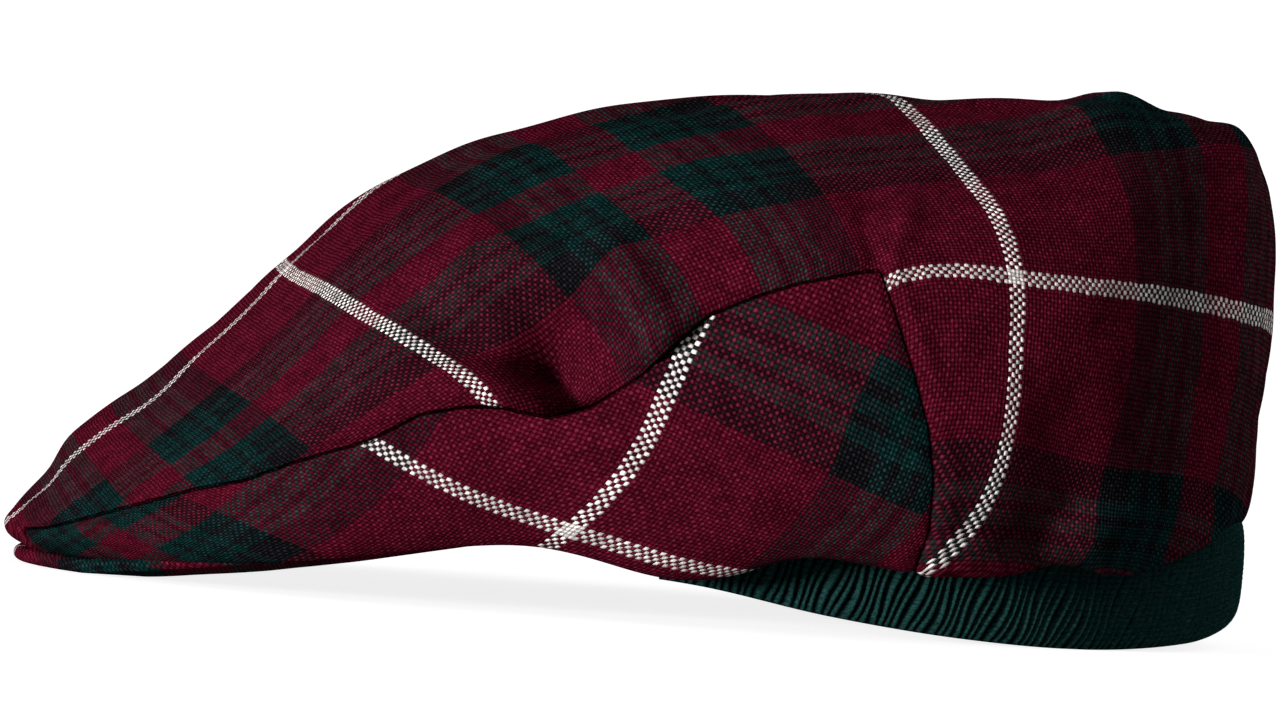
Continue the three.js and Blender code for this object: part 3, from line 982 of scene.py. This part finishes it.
def tartan_material():
    material, tree, shader = new_material("tartan")
    places = uv_places(tree, "threads")
    warp, weft, weft_over, lit = plain_weave(tree, *woven_places(tree, places))
    fibre = noise(tree, places, FIBRE_FINENESS).outputs["Fac"]
    patch = noise(tree, places, PATCH_FINENESS, 3.0).outputs["Fac"]
    # Painted shade between threads and on the lower threads, painted highlight on their tops
    shade = varied(tree, math_node(tree, "MULTIPLY_ADD", lit, WEAVE_LIT, WEAVE_LEAST), (
        (fibre, FIBRE_SPREAD),
        (crossing_chance(tree, warp, weft), CROSSING_SPREAD),
        (patch, PATCH_SPREAD),
    ))
    beside = beside_seam(tree)
    # Painted shade in the seam's furrow
    seam_painted_shade = math_node(tree, "MULTIPLY_ADD", beside, 1 - SEAM_PAINTED_SHADE, SEAM_PAINTED_SHADE)
    shade = math_node(tree, "MULTIPLY", shade, seam_painted_shade)
    # Painted sheen, strongest on the highest tops of threads
    tops = math_node(tree, "POWER", lit, PAINTED_SHEEN_SHARPNESS)
    painted_sheen = math_node(tree, "MULTIPLY", tops, PAINTED_SHEEN_SHARE)
    colour = mix_colours(tree, painted_sheen, weave_colour(tree, warp, weft, weft_over), PAINTED_SHEEN_COLOUR)
    relief = math_node(tree, "MULTIPLY_ADD", fibre, FIBRE_RELIEF, lit)
    relief = math_node(tree, "MULTIPLY_ADD", beside, SEAM_RELIEF, relief)
    finish_yarn(tree, shader, colour, shade, relief, WEAVE_RELIEF)
    return material


# Rows of stitches along the ribs, each row a little bent at the middle of a rib
def knit_material():
    material, tree, shader = new_material("rib_knit")
    places = uv_places(tree, "threads")
    wander = noise(tree, places, WANDER_FINENESS).outputs["Fac"]
    across, along = split_vector(tree, places)[:2]
    rib = math_node(tree, "MULTIPLY_ADD", wander, RIB_WANDER, across)
    rib = math_node(tree, "MULTIPLY", rib, 2 * math.pi)
    valley = math_node(tree, "MULTIPLY_ADD", math_node(tree, "COSINE", rib), -0.5, 0.5)
    valley = math_node(tree, "POWER", valley, VALLEY_SHARPNESS)
    crest = math_node(tree, "SUBTRACT", 1.0, valley)
    half = math_node(tree, "SINE", math_node(tree, "MULTIPLY", rib, 0.5))
    bend = math_node(tree, "MULTIPLY", math_node(tree, "ABSOLUTE", half), STITCH_BEND)
    row = math_node(tree, "MULTIPLY_ADD", along, 2 * math.pi / STITCH_LENGTH, bend)
    row = math_node(tree, "MULTIPLY_ADD", wander, ROW_WANDER, row)
    loop = math_node(tree, "MULTIPLY_ADD", math_node(tree, "COSINE", row), 0.5, 0.5)
    fibre = noise(tree, places, KNIT_FIBRE_FINENESS, 3.0).outputs["Fac"]
    # Painted shade: dark in the valleys between ribs, lighter on their crests
    shade = varied(tree, math_node(tree, "MULTIPLY_ADD", crest, KNIT_LIT, KNIT_LEAST), (
        (loop, LOOP_SPREAD),
        (fibre, KNIT_FIBRE_SPREAD),
        (wander, WANDER_SPREAD),
    ))
    relief = math_node(tree, "MULTIPLY_ADD", loop, LOOP_RELIEF, fibre)
    finish_yarn(tree, shader, KNIT_YARN, shade, relief, KNIT_RELIEF)
    return material


# A white sheet that throws no light back at the cap
def make_floor():
    bpy.ops.mesh.primitive_plane_add(size=FLOOR_SIZE, location=(0, 0, 0))
    floor = bpy.context.object
    floor.name = "floor"
    material, tree, shader = new_material("floor")
    shader.inputs["Base Color"].default_value = (*FLOOR_COLOUR, 1)
    shader.inputs["Emission Color"].default_value = (1, 1, 1, 1)
    shader.inputs["Emission Strength"].default_value = FLOOR_GLOW
    make_matt(shader)
    floor.data.materials.append(material)
    floor.visible_diffuse = False
    floor.visible_glossy = False


# A dim surround that is darker below
def make_world():
    world = bpy.data.worlds.new("studio")
    bpy.context.scene.world = world
    world.use_nodes = True
    tree = world.node_tree
    tree.nodes["Background"].inputs["Color"].default_value = (1, 1, 1, 1)
    direction = tree.nodes.new("ShaderNodeTexCoord").outputs["Generated"]
    upwards = tree.nodes.new("ShaderNodeMapRange")
    upwards.inputs["From Min"].default_value = WORLD_SLOPES[0]
    upwards.inputs["From Max"].default_value = WORLD_SLOPES[1]
    upwards.inputs["To Min"].default_value = WORLD_BELOW
    upwards.inputs["To Max"].default_value = WORLD_ABOVE
    tree.links.new(split_vector(tree, direction)["Z"], upwards.inputs["Value"])
    tree.links.new(upwards.outputs[0], tree.nodes["Background"].inputs["Strength"])


# A low key light from the front on the near side, and a weaker one for the far side
def make_lights():
    for name, azimuth, elevation, strength, softness in LIGHTS:
        light = bpy.data.lights.new(name, "SUN")
        light.energy = strength
        light.angle = math.radians(softness)
        lamp = bpy.data.objects.new(name, light)
        bpy.context.scene.collection.objects.link(lamp)
        lamp.rotation_euler = (math.radians(90 - elevation), 0, math.radians(azimuth))


def make_camera():
    right, up, back = camera_axes()
    camera = bpy.data.cameras.new("camera")
    camera.sensor_width = SENSOR_WIDTH
    camera.lens = SENSOR_WIDTH * CAMERA_SCALE * CAMERA_DISTANCE / PHOTO_SIZE[0]
    camera.clip_start = 0.1
    camera.clip_end = 200
    seat = bpy.data.objects.new("camera", camera)
    bpy.context.scene.collection.objects.link(seat)
    place = (np.array(CAMERA_TARGET) + back * CAMERA_DISTANCE) * MM
    matrix = np.eye(4)
    matrix[:3, 0], matrix[:3, 1], matrix[:3, 2], matrix[:3, 3] = right, up, back, place
    seat.matrix_world = matrix.T.tolist()
    bpy.context.scene.camera = seat


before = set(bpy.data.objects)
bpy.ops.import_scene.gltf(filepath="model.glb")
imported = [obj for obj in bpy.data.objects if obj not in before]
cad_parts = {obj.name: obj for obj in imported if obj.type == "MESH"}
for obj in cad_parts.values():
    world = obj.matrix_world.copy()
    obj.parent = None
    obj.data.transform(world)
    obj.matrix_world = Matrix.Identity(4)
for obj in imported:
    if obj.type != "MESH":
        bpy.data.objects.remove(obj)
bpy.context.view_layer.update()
tartan = tartan_material()
make_cloth(tartan)
make_peak(tartan)
make_band(knit_material())
make_floor()
make_world()
make_lights()
make_camera()
bpy.context.scene.view_settings.view_transform = "Standard"
